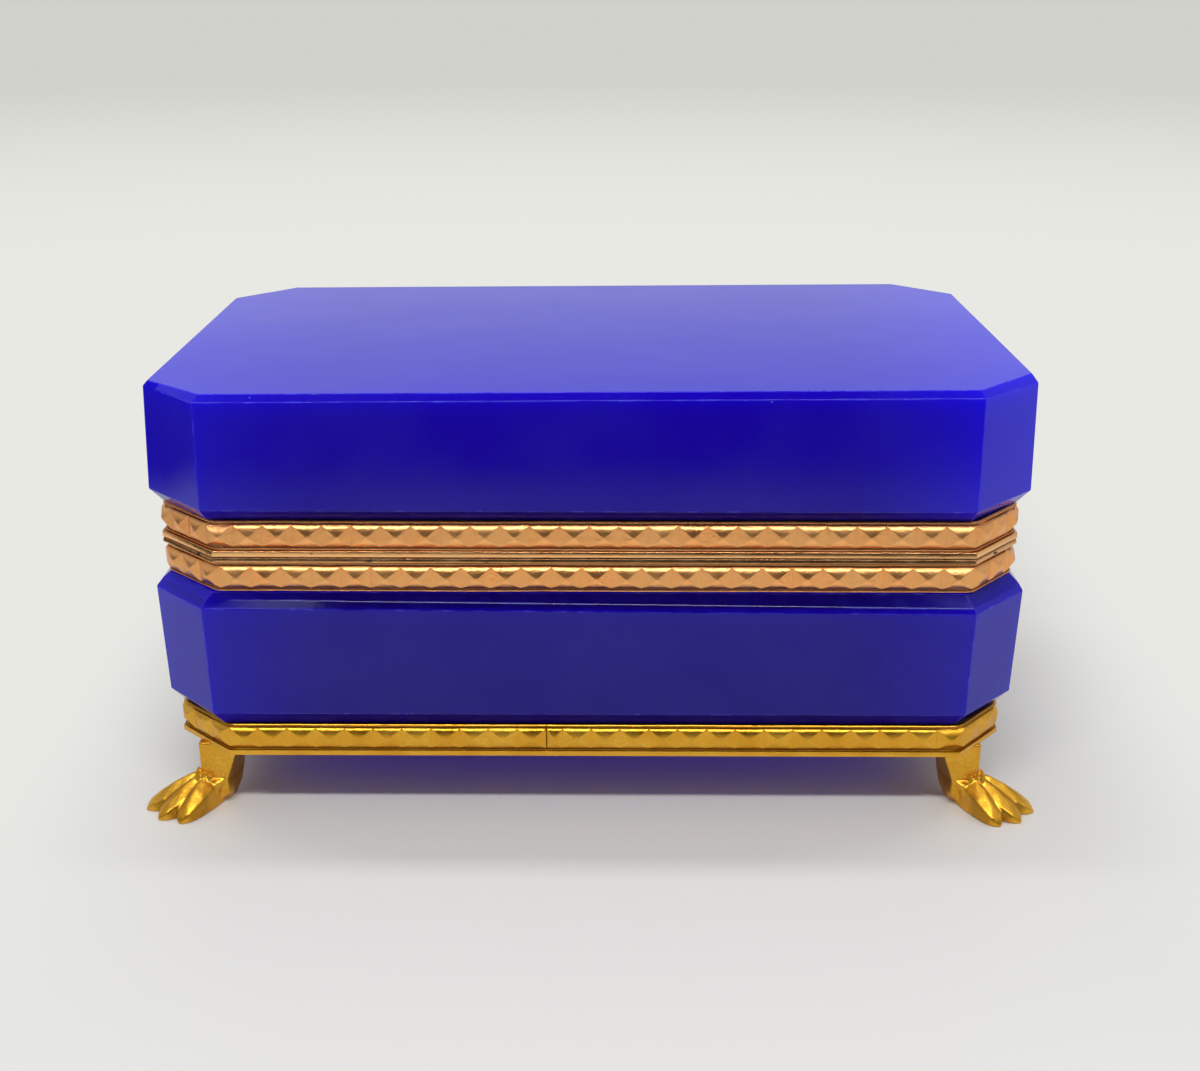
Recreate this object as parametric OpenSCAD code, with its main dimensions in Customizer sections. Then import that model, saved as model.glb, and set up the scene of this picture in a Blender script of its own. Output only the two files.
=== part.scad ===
// Octagonal glass casket with gilt brass mounts and four cast lion-paw feet.
// Millimetres, +Z up, front towards -Y, origin on the floor under the middle of the box.

/* [Metal rims] */
// Width of the two rims that meet at the parting line
rim_w = 148; // [130:1:170]
// Depth of those rims, front to back
rim_d = 86.8; // [76:1:104]
// Corner cut of the rims, measured along each side
rim_corner = 10.1; // [8:0.1:13]
// Thickness of a rim's flat plate, which shows as a plain edge
rim_plate_t = 0.9; // [0.7:0.1:1.4]
// Thickness of a rim's upright flange
rim_flange_t = 0.6; // [0.4:0.1:0.8]
// Open line between the closed rims
parting_gap = 0.1; // [0.05:0.05:0.3]
// Height of the register lip that stands up inside the lid's rim
register_h = 0.95; // [0.5:0.05:1]
// Thickness of the register lip
register_t = 0.8; // [0.5:0.1:1.1]
// Side clearance between the register lip and the lid's rim
register_clear = 0.5; // [0.3:0.1:0.7]

/* [Stamped strip] */
// Height of the strip on the two rims
strip_h = 5.4; // [4.8:0.1:6.4]
// Height of the strip on the foot frame
foot_strip_h = 4.9; // [4.6:0.1:5.6]
// Height of the raised diamond points
point_h = 4.1; // [3.6:0.1:4.4]
// Spacing of the diamond points along the strip
point_pitch = 4.95; // [4.4:0.05:6]
// How far the points stand out from the strip's face
point_relief = 0.95; // [0.5:0.05:1.1]
// Thickness of the strip's metal
strip_t = 0.35; // [0.25:0.05:0.5]
// How far the strip's face lies inside the rim's outer edge
strip_set_in = 0.6; // [0.4:0.1:1]
// The same on the foot frame
foot_strip_set_in = 0.4; // [0.3:0.1:0.8]
// Place of the foot strip's butt joint, left of the front's centre
foot_seam_x = 7.4; // [2:0.1:30]
// Width of that butt joint
foot_seam_gap = 0.2; // [0.1:0.05:0.5]

/* [Glass] */
// How far the glass stands out past the rims on every side
glass_overhang = 1.5; // [1:0.1:2.5]
// Corner cut of the lid glass at its widest edge
lid_corner = 11.6; // [9:0.1:14]
// Corner cut of the base glass at its widest edge
base_corner = 10.3; // [9:0.1:14]
// Height of the lid's flat side faces
lid_face_h = 18.65; // [14:0.05:26]
// Height of the base's flat side faces
base_face_h = 19.85; // [14:0.05:28]
// How far a side face leans in from the mouth to the far end
face_lean = 0.5; // [0:0.1:1]
// Bevel round the lid's top face
top_bevel = 1.15; // [0.6:0.05:2]
// Height of the bevel above the lid's rim and below the base's rim
mouth_bevel_h = 2.2; // [1.6:0.1:3]
// Height of the bevel above the foot frame
foot_bevel_h = 2.8; // [2:0.1:3.6]
// How far the shoulders of the glass lie inside the rim's outer edge
shoulder_set_in = 0.7; // [0.5:0.1:1.2]
// How far the lower shoulder of the base lies inside the foot frame's edge
foot_shoulder_set_in = 0.8; // [0.6:0.1:1.2]
// Dark gap between a shoulder and the metal below or above it
shoulder_gap = 0.2; // [0.1:0.05:0.3]
// Thickness of the glass neck inside a rim
neck_t = 2.65; // [2.2:0.05:3.4]
// Thickness of the lid's top
top_t = 6; // [4:0.5:8]
// Thickness of the base's floor
floor_t = 6; // [4:0.5:8]
// Chamfer where a hollow's walls meet its floor
hollow_chamfer = 2; // [0.5:0.5:3]

/* [Plaster] */
// Plaster between an upright flange and the glass neck
plaster_side = 0.5; // [0.3:0.1:0.8]
// Plaster between a flat plate and the ground edge of the glass
plaster_bed = 0.3; // [0.2:0.05:0.5]
// Height that the plaster stays below a flange's edge
plaster_low = 0.3; // [0.1:0.1:0.6]

/* [Foot frame] */
// Height from the floor to the underside of the frame
leg_h = 12.5; // [9:0.5:18]
// How far the frame's outer edge lies inside the rims' outer edge
foot_set_in = 0.3; // [0:0.1:1]
// Corner cut of the frame
foot_corner = 9.6; // [8:0.1:13]
// Thickness of the frame's ledge
ledge_t = 0.9; // [0.8:0.1:1.4]
// Width of the ledge
ledge_w = 7.5; // [7:0.5:10]

/* [Paws] */
// Side of the square shank at its top
shank_top = 7.2; // [6:0.1:8]
// Side of the shank at the ankle
ankle = 5.2; // [4.6:0.1:5.8]
// Height of the ankle
ankle_z = 4.2; // [3.6:0.1:5]
// How far the shank's outer corner stands from the frame's outer sides
shank_set_in = [3.8, 4.4];
// Reach of the three toes from the ankle's middle, front toe first
toe_reach = [11.1, 12.9, 13.5];
// Angle of the middle toe from the box's long side
toe_turn = 42; // [35:1:50]
// Angle between toes
toe_fan = 19.5; // [17:0.5:22]
// Radius of a toe at its knuckle
toe_r = 2.1; // [1.6:0.05:2.2]
// Radius of a toe's blunt end
toe_end_r = 1.6; // [0.8:0.05:1.7]
// Radius of a claw's tip
claw_r = 0.4; // [0.3:0.05:0.6]
// Height of the fur points round the ankle
fur_h = 1.9; // [1:0.1:2.4]

/* [Foot screws] */
// Radius of a screw's shank
screw_r = 0.8; // [0.6:0.05:1]
// Radius of its countersunk head
screw_head_r = 1.5; // [1.2:0.05:1.8]
// Depth of the countersink
screw_head_h = 0.7; // [0.5:0.05:0.75]
// Length of a screw under its head
screw_l = 5; // [4:0.5:6]
// Clearance round a screw in its hole
screw_clear = 0.05; // [0.02:0.01:0.1]

/* [Hinge] */
// Width of the hinge
hinge_w = 50; // [30:1:70]
// Number of knuckles, an odd number
knuckle_n = 5; // [3:2:9]
// Outer radius of a knuckle
knuckle_r = 1.25; // [1.1:0.05:1.5]
// Radius of the pin
pin_r = 0.55; // [0.4:0.05:0.65]
// Clearance between the pin and its holes
pin_clear = 0.04; // [0.02:0.01:0.08]
// End clearance between knuckles
knuckle_gap = 0.15; // [0.1:0.05:0.3]
// Clearance between a knuckle and what passes it
swing_clear = 0.12; // [0.1:0.01:0.25]
// Thickness of a hinge plate
hinge_plate_t = 0.8; // [0.6:0.1:1]
// Height of a stop rail
rail_h = 1.2; // [0.8:0.1:1.6]
// Angle at which the rails meet and stop the lid
open_angle = 95; // [90:1:100]

/* [Hidden] */

// Colours
opaline = [0.13, 0.10, 0.62];
rose_gilt = [0.80, 0.52, 0.30];
yellow_gilt = [0.80, 0.60, 0.18];
plaster = [0.86, 0.84, 0.79];
plain_brass = [0.66, 0.50, 0.26];

// Heights, from the floor up
ledge_top = leg_h + ledge_t;
foot_strip_top = ledge_top + foot_strip_h;
base_bottom = ledge_top + plaster_bed;
base_low_shoulder = foot_strip_top + shoulder_gap;
base_face_low = base_low_shoulder + foot_bevel_h;
base_face_high = base_face_low + base_face_h;
base_high_shoulder = base_face_high + mouth_bevel_h;
base_strip_low = base_high_shoulder + shoulder_gap;
base_plate_low = base_strip_low + strip_h;
base_plate_top = base_plate_low + rim_plate_t;
base_mouth = base_plate_low - plaster_bed;
base_hollow_low = base_bottom + floor_t;
lid_plate_low = base_plate_top + parting_gap;
lid_plate_top = lid_plate_low + rim_plate_t;
lid_strip_top = lid_plate_top + strip_h;
lid_mouth = lid_plate_top + plaster_bed;
lid_shoulder = lid_strip_top + shoulder_gap;
lid_face_low = lid_shoulder + mouth_bevel_h;
lid_face_high = lid_face_low + lid_face_h;
lid_top = lid_face_high + top_bevel;
lid_hollow_top = lid_top - top_t;

// Insets from the rims' outer edge
strip_back = strip_set_in + strip_t;
flange_in = strip_back + rim_flange_t;
neck_out = flange_in + plaster_side;
neck_in = neck_out + neck_t;
plate_overhang = 0.4;
base_plate_in = neck_in + plate_overhang;
register_out = base_plate_in - register_t;
lid_plate_in = register_out - register_clear;

// Insets from the foot frame's outer edge
foot_strip_back = foot_strip_set_in + strip_t;
foot_flange_in = foot_strip_back + rim_flange_t;
foot_neck = foot_flange_in + plaster_side;

// An octagon is [half width, half depth, corner cut]
rim_oct = [rim_w / 2, rim_d / 2, rim_corner];
foot_oct = [rim_w / 2 - foot_set_in, rim_d / 2 - foot_set_in, foot_corner];
lid_oct = [rim_w / 2 + glass_overhang, rim_d / 2 + glass_overhang, lid_corner];
base_oct = [rim_w / 2 + glass_overhang, rim_d / 2 + glass_overhang, base_corner];

// Hinge
pivot_y = rim_d / 2 + swing_clear + knuckle_r;
pivot_z = base_plate_top + parting_gap / 2;
rail_low = knuckle_r + swing_clear;
rim_back_y = rim_d / 2 - strip_back;
plate_y = rim_back_y - pivot_y;
stop_slack = 0.3;
knuckle_l = (hinge_w - (knuckle_n - 1) * knuckle_gap) / knuckle_n;
strip_gap = 0.2;

// Paws
toe_n = len(toe_reach);
knuckle_at = 0.55;
shank_corner = [foot_oct[0] - shank_set_in[0], foot_oct[1] - shank_set_in[1]];
ankle_mid = [shank_corner[0] - ankle / 2, shank_corner[1] - ankle / 2];
screw_at = [shank_corner[0] - shank_top / 2, shank_corner[1] - shank_top / 2];

// The octagon moved inwards by t on every side
function inset(p, t) = [p[0] - t, p[1] - t, p[2] - t * (2 - sqrt(2))];

// Its corners, anticlockwise from above, starting at the right-hand side's rear corner
function corners(p) = let (a = p[0], b = p[1], c = p[2])
    [[a, b - c], [a - c, b], [c - a, b], [-a, b - c], [-a, c - b], [c - a, -b], [a - c, -b], [a, c - b]];

// A solid lofted through level octagons: levels are [height, octagon], from the bottom up
module loft(levels) {
    n = len(levels);
    points = [for (l = levels) for (q = corners(l[1])) [q[0], q[1], l[0]]];
    sides = [for (k = [0 : n - 2]) for (i = [0 : 7]) let (j = (i + 1) % 8)
        [8 * k + i, 8 * k + 8 + i, 8 * k + 8 + j, 8 * k + j]];
    floor_face = [for (i = [0 : 7]) i];
    top_face = [for (i = [7 : -1 : 0]) 8 * (n - 1) + i];
    polyhedron(points, concat([floor_face, top_face], sides), convexity = 4);
}

// A profile of [inset, height] points carried round an octagon, clockwise with the outside on the left
module ring(p, profile) {
    n = len(profile);
    points = [for (m = profile) for (q = corners(inset(p, m[0]))) [q[0], q[1], m[1]]];
    faces = [for (m = [0 : n - 1]) for (i = [0 : 7]) let (j = (i + 1) % 8, m2 = (m + 1) % n)
        [8 * m + i, 8 * m2 + i, 8 * m2 + j, 8 * m + j]];
    polyhedron(points, faces, convexity = 6);
}

// Corners of an octagon cut open at the back, between x0 and x1, anticlockwise from the cut's left
function open_path(p, x0, x1) = let (a = p[0], b = p[1], c = p[2])
    [[x0, b], [c - a, b], [-a, b - c], [-a, c - b], [c - a, -b],
     [a - c, -b], [a, c - b], [a, b - c], [a - c, b], [x1, b]];

// A stamped strip bent round an octagon: its face lies at inset face, and each point is a low pyramid
module diamond_strip(p, face, z0, h, x0, x1) {
    tip_path = open_path(inset(p, face - point_relief), x0, x1);
    face_path = open_path(inset(p, face), x0, x1);
    back_path = open_path(inset(p, face + strip_t), x0, x1);
    count = [for (i = [0 : 8]) max(1, round(norm(face_path[i + 1] - face_path[i]) / point_pitch))];
    steps = [for (i = [0 : 8]) for (k = [0 : count[i] - 1]) [i, k / count[i], (k + 0.5) / count[i]]];
    edge = (h - point_h) / 2;
    levels = [z0, z0 + edge, z0 + h - edge, z0 + h];
    m = len(steps);
    columns = concat([for (s = steps) [s[0], s[1]]], [[8, 1]]);
    function along(path, i, f) = path[i] * (1 - f) + path[i + 1] * f;
    shell = [for (c = columns) let (q = along(face_path, c[0], c[1]), r = along(back_path, c[0], c[1]))
        each concat([for (z = levels) [q[0], q[1], z]], [[r[0], r[1], levels[3]], [r[0], r[1], levels[0]]])];
    tips = [for (s = steps) let (q = along(tip_path, s[0], s[2])) [q[0], q[1], z0 + h / 2]];
    flats = [for (c = [0 : m - 1]) for (e = [0, 2, 3, 4, 5]) let (g = (e + 1) % 6)
        [6 * c + e, 6 * c + g, 6 * c + 6 + g, 6 * c + 6 + e]];
    slopes = [for (c = [0 : m - 1])
        let (base = [6 * c + 1, 6 * c + 2, 6 * c + 8, 6 * c + 7], tip = 6 * (m + 1) + c)
        for (e = [0 : 3]) [base[e], base[(e + 1) % 4], tip]];
    ends = [for (e = [0 : 3]) each [[5, e + 1, e], [6 * m + 5, 6 * m + e, 6 * m + e + 1]]];
    polyhedron(concat(shell, tips), concat(flats, slopes, ends), convexity = 10);
}

module lid_glass() {
    far = inset(lid_oct, face_lean);
    color(opaline) difference() {
        loft([[lid_mouth, inset(rim_oct, neck_out)], [lid_shoulder, inset(rim_oct, neck_out)],
              [lid_shoulder, inset(rim_oct, shoulder_set_in)], [lid_face_low, lid_oct],
              [lid_face_high, far], [lid_top, inset(far, top_bevel)]]);
        loft([[lid_mouth - 1, inset(rim_oct, neck_in)], [lid_mouth, inset(rim_oct, neck_in)],
              [lid_hollow_top - hollow_chamfer, inset(rim_oct, neck_in + face_lean)],
              [lid_hollow_top, inset(rim_oct, neck_in + face_lean + hollow_chamfer)]]);
    }
}

module base_glass() {
    far = inset(base_oct, face_lean);
    color(opaline) difference() {
        loft([[base_bottom, inset(foot_oct, foot_neck)], [base_low_shoulder, inset(foot_oct, foot_neck)],
              [base_low_shoulder, inset(foot_oct, foot_shoulder_set_in)], [base_face_low, far],
              [base_face_high, base_oct], [base_high_shoulder, inset(rim_oct, shoulder_set_in)],
              [base_high_shoulder, inset(rim_oct, neck_out)], [base_mouth, inset(rim_oct, neck_out)]]);
        loft([[base_hollow_low, inset(rim_oct, neck_in + face_lean + hollow_chamfer)],
              [base_hollow_low + hollow_chamfer, inset(rim_oct, neck_in + face_lean)],
              [base_mouth, inset(rim_oct, neck_in)], [base_mouth + 1, inset(rim_oct, neck_in)]]);
    }
}

module lid_cement() color(plaster)
    ring(rim_oct, [[flange_in, lid_plate_top], [flange_in, lid_strip_top - plaster_low],
        [neck_out, lid_strip_top - plaster_low], [neck_out, lid_mouth],
        [lid_plate_in, lid_mouth], [lid_plate_in, lid_plate_top]]);

module base_cement() color(plaster)
    ring(rim_oct, [[flange_in, base_strip_low + plaster_low], [flange_in, base_plate_low],
        [neck_in, base_plate_low], [neck_in, base_mouth],
        [neck_out, base_mouth], [neck_out, base_strip_low + plaster_low]]);

module foot_cement() color(plaster)
    ring(foot_oct, [[foot_flange_in, ledge_top], [foot_flange_in, foot_strip_top - plaster_low],
        [foot_neck, foot_strip_top - plaster_low], [foot_neck, base_bottom],
        [ledge_w, base_bottom], [ledge_w, ledge_top]]);

module lid_rim() color(rose_gilt)
    ring(rim_oct, [[0, lid_plate_low], [0, lid_plate_top], [strip_back, lid_plate_top],
        [strip_back, lid_strip_top], [flange_in, lid_strip_top], [flange_in, lid_plate_top],
        [lid_plate_in, lid_plate_top], [lid_plate_in, lid_plate_low]]);

module base_rim() color(rose_gilt)
    ring(rim_oct, [[0, base_plate_low], [0, base_plate_top], [register_out, base_plate_top],
        [register_out, base_plate_top + register_h], [base_plate_in, base_plate_top + register_h],
        [base_plate_in, base_plate_low], [flange_in, base_plate_low], [flange_in, base_strip_low],
        [strip_back, base_strip_low], [strip_back, base_plate_low]]);

module lid_band() color(rose_gilt)
    diamond_strip(rim_oct, strip_set_in, lid_plate_top, strip_h,
        -hinge_w / 2 - strip_gap, hinge_w / 2 + strip_gap);

module base_band() color(rose_gilt)
    diamond_strip(rim_oct, strip_set_in, base_strip_low, strip_h,
        -hinge_w / 2 - strip_gap, hinge_w / 2 + strip_gap);

module foot_band() color(yellow_gilt) rotate([0, 0, 180])
    diamond_strip(foot_oct, foot_strip_set_in, ledge_top, foot_strip_h,
        foot_seam_x - foot_seam_gap / 2, foot_seam_x + foot_seam_gap / 2);

// What a knuckle's place along the hinge is, counted from the left
function knuckle_x(k) = -hinge_w / 2 + k * (knuckle_l + knuckle_gap);

// Lays a drawing of the pivot's cross-section along the hinge, with +Y to the rear and the pivot at 0, 0
module along_hinge(x, l) {
    translate([x, pivot_y, pivot_z]) rotate([90, 0, 90]) linear_extrude(l) children();
}

// Plate, stop rail and knuckle seats above the pivot; the base's are the same turned over
module hinge_plate(top, first) {
    seat_low = 0.45;
    seat_back = -1.1;
    seat_front = 0.6;
    along_hinge(-hinge_w / 2, hinge_w) {
        translate([plate_y, rail_low]) square([hinge_plate_t, top - rail_low]);
        difference() {
            translate([plate_y, rail_low]) square([knuckle_r - plate_y, rail_h]);
            rotate(open_angle / 2 + stop_slack) translate([0, -2 * rail_h]) square([4 * knuckle_r, 2 * rail_h]);
        }
    }
    for (k = [first : 2 : knuckle_n - 1]) along_hinge(knuckle_x(k), knuckle_l) difference() {
        translate([seat_back, seat_low]) square([seat_front - seat_back, rail_low - seat_low]);
        circle(knuckle_r, $fn = 48);
    }
}

// Tubes along the hinge, every second one from the first
module knuckles(first) {
    for (k = [first : 2 : knuckle_n - 1]) along_hinge(knuckle_x(k), knuckle_l) difference() {
        circle(knuckle_r, $fn = 48);
        circle(pin_r + pin_clear, $fn = 32);
    }
}

module lid_hinge_plate() color(rose_gilt)
    hinge_plate(lid_strip_top - pivot_z, 1);

module base_hinge_plate() color(rose_gilt)
    translate([0, 0, 2 * pivot_z]) mirror([0, 0, 1]) hinge_plate(pivot_z - base_strip_low, 0);

module lid_hinge_knuckles() color(rose_gilt) knuckles(1);

module base_hinge_knuckles() color(rose_gilt) knuckles(0);

module hinge_pin() color(plain_brass)
    along_hinge(-hinge_w / 2, hinge_w) circle(pin_r, $fn = 32);

// Puts its children at each corner given as [side, front or back]
module at_corner(side, back) {
    mirror([side < 0 ? 1 : 0, 0, 0]) mirror([0, back < 0 ? 1 : 0, 0]) children();
}

module screw(extra) {
    translate([screw_at[0], screw_at[1], ledge_top]) {
        translate([0, 0, -screw_head_h])
            cylinder(h = screw_head_h, r1 = screw_r + extra, r2 = screw_head_r + extra, $fn = 32);
        translate([0, 0, -screw_head_h - screw_l]) cylinder(h = screw_head_h + screw_l, r = screw_r + extra, $fn = 32);
    }
}

module foot_frame() color(yellow_gilt) difference() {
    ring(foot_oct, [[0, leg_h], [0, ledge_top], [foot_strip_back, ledge_top],
        [foot_strip_back, foot_strip_top], [foot_flange_in, foot_strip_top],
        [foot_flange_in, ledge_top], [ledge_w, ledge_top], [ledge_w, leg_h]]);
    for (side = [-1, 1], back = [-1, 1]) at_corner(side, back) screw(screw_clear);
}

module foot_screws() color(plain_brass)
    for (side = [-1, 1], back = [-1, 1]) at_corner(side, back) screw(0);

// A ball on a toe, at a place measured from the ankle's middle
module toe_ball(at, z, r) {
    translate([each (ankle_mid + at), z]) sphere(r, $fn = 20);
}

// One paw, for the corner where x and y are both positive
module paw() {
    angles = [for (i = [0 : toe_n - 1]) toe_turn + (1 - i) * toe_fan];
    dirs = [for (a = angles) [cos(a), sin(a)]];
    difference() {
        union() {
            hull() {
                translate([shank_corner[0] - shank_top, shank_corner[1] - shank_top, leg_h - 1])
                    cube([shank_top, shank_top, 1]);
                translate([shank_corner[0] - ankle, shank_corner[1] - ankle, ankle_z - 1])
                    cube([ankle, ankle, 1]);
            }
            hull() {
                translate(ankle_mid) cylinder(h = ankle_z, r = ankle * 0.42, $fn = 20);
                for (i = [0 : toe_n - 1]) translate(ankle_mid + dirs[i] * toe_reach[i] * knuckle_at)
                    cylinder(h = toe_r * 1.3, r = toe_r * 0.9, $fn = 16);
            }
            for (i = [0 : toe_n - 1]) hull() {
                toe_ball(dirs[i] * ankle * 0.36, ankle_z + 0.3, toe_r);
                toe_ball(dirs[i] * toe_reach[i] * knuckle_at, toe_r + 0.5, toe_r);
                toe_ball(dirs[i] * (toe_reach[i] - claw_r - toe_end_r), toe_end_r, toe_end_r);
                toe_ball(dirs[i] * (toe_reach[i] - claw_r), claw_r, claw_r);
            }
            for (i = [0 : 3]) let (a = toe_turn + (1.5 - i) * toe_fan * 1.6)
                translate([each (ankle_mid + [cos(a), sin(a)] * ankle * 0.55), ankle_z + 0.6])
                    cylinder(h = fur_h, r1 = 1, r2 = 0.1, $fn = 14);
        }
        screw(screw_clear);
    }
}

module paw_front_left() color(yellow_gilt) at_corner(-1, -1) paw();
module paw_front_right() color(yellow_gilt) at_corner(1, -1) paw();
module paw_rear_left() color(yellow_gilt) at_corner(-1, 1) paw();
module paw_rear_right() color(yellow_gilt) at_corner(1, 1) paw();

lid_glass();
lid_cement();
lid_rim();
lid_band();
lid_hinge_plate();
lid_hinge_knuckles();
base_glass();
base_cement();
base_rim();
base_band();
base_hinge_plate();
base_hinge_knuckles();
hinge_pin();
foot_frame();
foot_band();
foot_cement();
paw_front_left();
paw_front_right();
paw_rear_left();
paw_rear_right();
foot_screws();
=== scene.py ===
"""Looks of an octagonal opaline glass casket with gilt brass mounts and four lion-paw feet."""

import math

import bmesh
import bpy
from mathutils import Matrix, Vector, noise


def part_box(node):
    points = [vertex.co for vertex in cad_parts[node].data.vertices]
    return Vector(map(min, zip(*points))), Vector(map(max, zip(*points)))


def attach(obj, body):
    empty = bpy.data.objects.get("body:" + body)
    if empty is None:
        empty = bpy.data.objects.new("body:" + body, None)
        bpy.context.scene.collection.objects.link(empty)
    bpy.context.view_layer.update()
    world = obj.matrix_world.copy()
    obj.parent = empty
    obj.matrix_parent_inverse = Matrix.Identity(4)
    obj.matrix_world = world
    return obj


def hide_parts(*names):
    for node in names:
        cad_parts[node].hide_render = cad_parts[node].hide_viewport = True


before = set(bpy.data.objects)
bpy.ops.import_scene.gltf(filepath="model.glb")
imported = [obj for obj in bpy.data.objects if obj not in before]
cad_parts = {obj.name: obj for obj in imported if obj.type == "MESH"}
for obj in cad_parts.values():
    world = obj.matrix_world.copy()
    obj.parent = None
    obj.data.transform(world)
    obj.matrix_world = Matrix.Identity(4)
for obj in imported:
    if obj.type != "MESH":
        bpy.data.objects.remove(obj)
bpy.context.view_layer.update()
MM = 0.001


# ---------------------------------------------------------------------------------------------
# Camera. It stands a little right of the middle, 28 cm in front of the box's centre and 14 cm up,
# and looks down on it by 20.6 degrees.
# ---------------------------------------------------------------------------------------------
camera = bpy.data.objects.new("camera", bpy.data.cameras.new("camera"))
camera.data.sensor_width = 36
camera.data.lens = 46.14
camera.data.shift_y = 0.002
camera.data.clip_end = 100
camera.location = (0.0035, -0.2826, 0.1433)
camera.rotation_euler = (math.radians(69.43), 0, math.radians(0.374))
bpy.context.scene.collection.objects.link(camera)
bpy.context.scene.camera = camera
bpy.context.scene.view_settings.view_transform = "Standard"


# ---------------------------------------------------------------------------------------------
# Stage. A pale paper floor with soft light: a room that is bright behind and at the sides and dark
# in front, a strong strip lamp high up in front, and a weaker one above the box.
# ---------------------------------------------------------------------------------------------
class Wire:
    """An output socket of a node tree. Sums and products of Wires and numbers add Math nodes."""

    def __init__(self, tree, socket=None):
        self.tree = tree
        self.socket = socket

    def node(self, kind, settings=None, values=None, output=0):
        """Adds a node: its settings first, then its sockets' values or links. Gives one output."""
        made = self.tree.nodes.new(kind)
        for name, value in (settings or {}).items():
            if name == "stops":
                ramp = made.color_ramp.elements
                while len(ramp) < len(value):
                    ramp.new(0.5)
                for element, (place, colour) in zip(ramp, value):
                    element.position = place
                    element.color = (*colour, 1)
            else:
                setattr(made, name, value)
        wired = Wire(self.tree, made.outputs[output])
        wired.feed(values or {})
        return wired

    def feed(self, values):
        """Sets or links the inputs of the node that this socket belongs to."""
        for name, value in values.items():
            socket = self.socket.node.inputs[name]
            for one in value if isinstance(value, list) else [value]:
                if isinstance(one, Wire):
                    self.tree.links.new(one.socket, socket)
                else:
                    socket.default_value = one

    def also(self, output):
        """Another output of the same node."""
        return Wire(self.tree, self.socket.node.outputs[output])

    def math(self, operation, *values):
        return self.node("ShaderNodeMath", {"operation": operation}, dict(enumerate(values)))

    def __add__(self, other):
        return self.math("ADD", self, other)

    __radd__ = __add__

    def __sub__(self, other):
        return self.math("SUBTRACT", self, other)

    def __rsub__(self, other):
        return self.math("SUBTRACT", other, self)

    def __mul__(self, other):
        return self.math("MULTIPLY", self, other)

    __rmul__ = __mul__

    def ease(self, low, high, start=0.0, end=1.0):
        """Goes smoothly from start to end as this value goes from low to high."""
        return self.node("ShaderNodeMapRange", {"interpolation_type": "SMOOTHSTEP"},
                         {0: self, 1: low, 2: high, 3: start, 4: end})

    def colour(self, plain, marked):
        """The plain colour where this value is 0, and the marked one where it is 1."""
        ends = [value if isinstance(value, Wire) else (*value, 1) for value in (plain, marked)]
        return self.node("ShaderNodeMix", {"data_type": "RGBA"}, {0: self, 6: ends[0], 7: ends[1]}, 2)

    def cloud(self, place, scale, detail=2.0, roughness=0.5):
        """Soft noise from 0 to 1 at so many waves a metre."""
        return self.node("ShaderNodeTexNoise", None,
                         {"Vector": place, "Scale": scale, "Detail": detail, "Roughness": roughness})


def new_finish(name, constants):
    """A material, and the Wire of its Principled shader with these constant settings."""
    material = bpy.data.materials.new(name)
    material.use_nodes = True
    shader = Wire(material.node_tree, material.node_tree.nodes["Principled BSDF"].outputs[0])
    shader.feed(constants)
    return material, shader


def object_place(wire):
    """The point being shaded, in the object's own coordinates."""
    return wire.node("ShaderNodeTexCoord", output="Object")


def mesh_of(name, form):
    """The mesh that a form holds. The form can't be used after this."""
    mesh = bpy.data.meshes.new(name)
    form.to_mesh(mesh)
    form.free()
    return mesh


def mesh_object(name, mesh, materials):
    """A new object at the origin that shows this mesh."""
    made = bpy.data.objects.new(name, mesh)
    bpy.context.scene.collection.objects.link(made)
    for material in materials:
        made.data.materials.append(material)
    return made


paper, sheet = new_finish("paper", {"Base Color": (0.785, 0.785, 0.76, 1), "Roughness": 0.42})
paper_place = object_place(sheet)
reach = sheet.node("ShaderNodeVectorMath", {"operation": "LENGTH"}, {0: paper_place}, 1)
# Painted fall-off of light: far off, the camera sees the paper as an emitting sheet that darkens with
# distance.
far_colour = reach.ease(0.45, 1.9).colour((0.81, 0.81, 0.775), (0.635, 0.64, 0.60))
right = sheet.node("ShaderNodeSeparateXYZ", None, {0: paper_place})
# Painted reflection: reflected and transmitted rays see a dark sheet past the paper's left and front
# edges, and the paper darker towards the right.
painted_reflection_edge = right.ease(-0.305, -0.245) * right.also("Y").ease(-0.315, -0.235)
painted_reflection_tone = right.ease(0.18, 0.32).colour((0.74, 0.74, 0.72), (0.56, 0.56, 0.55))
mirrored = painted_reflection_edge.colour((0.03, 0.03, 0.03), painted_reflection_tone)
eye = sheet.node("ShaderNodeLightPath", output="Is Camera Ray")
mirror = sheet.math("MAXIMUM", eye.also("Is Glossy Ray"), eye.also("Is Transmission Ray"))
glow = sheet.node("ShaderNodeEmission", None, {"Color": mirror.colour(far_colour, mirrored),
                                               "Strength": 1.0})
# Painted light: beside the box, the camera sees the emitting paper instead of the lit one from close
# by, which lightens the box's shadow at its sides.
beside = sheet.math("ABSOLUTE", right - 0.009).ease(0.069, 0.121)
near_share = sheet.math("MAXIMUM", reach.ease(0.10, 0.32), beside)
far_share = eye * near_share + mirror * reach.ease(0.14, 0.20)
mixed = sheet.node("ShaderNodeMixShader", None, {0: far_share, 1: sheet, 2: glow})
paper_output = paper.node_tree.nodes["Material Output"]
paper.node_tree.links.new(mixed.socket, paper_output.inputs["Surface"])

floor_form = bmesh.new()
bmesh.ops.create_circle(floor_form, cap_ends=True, segments=128, radius=9.0)
floor = mesh_object("floor", mesh_of("floor", floor_form), [paper])

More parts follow.
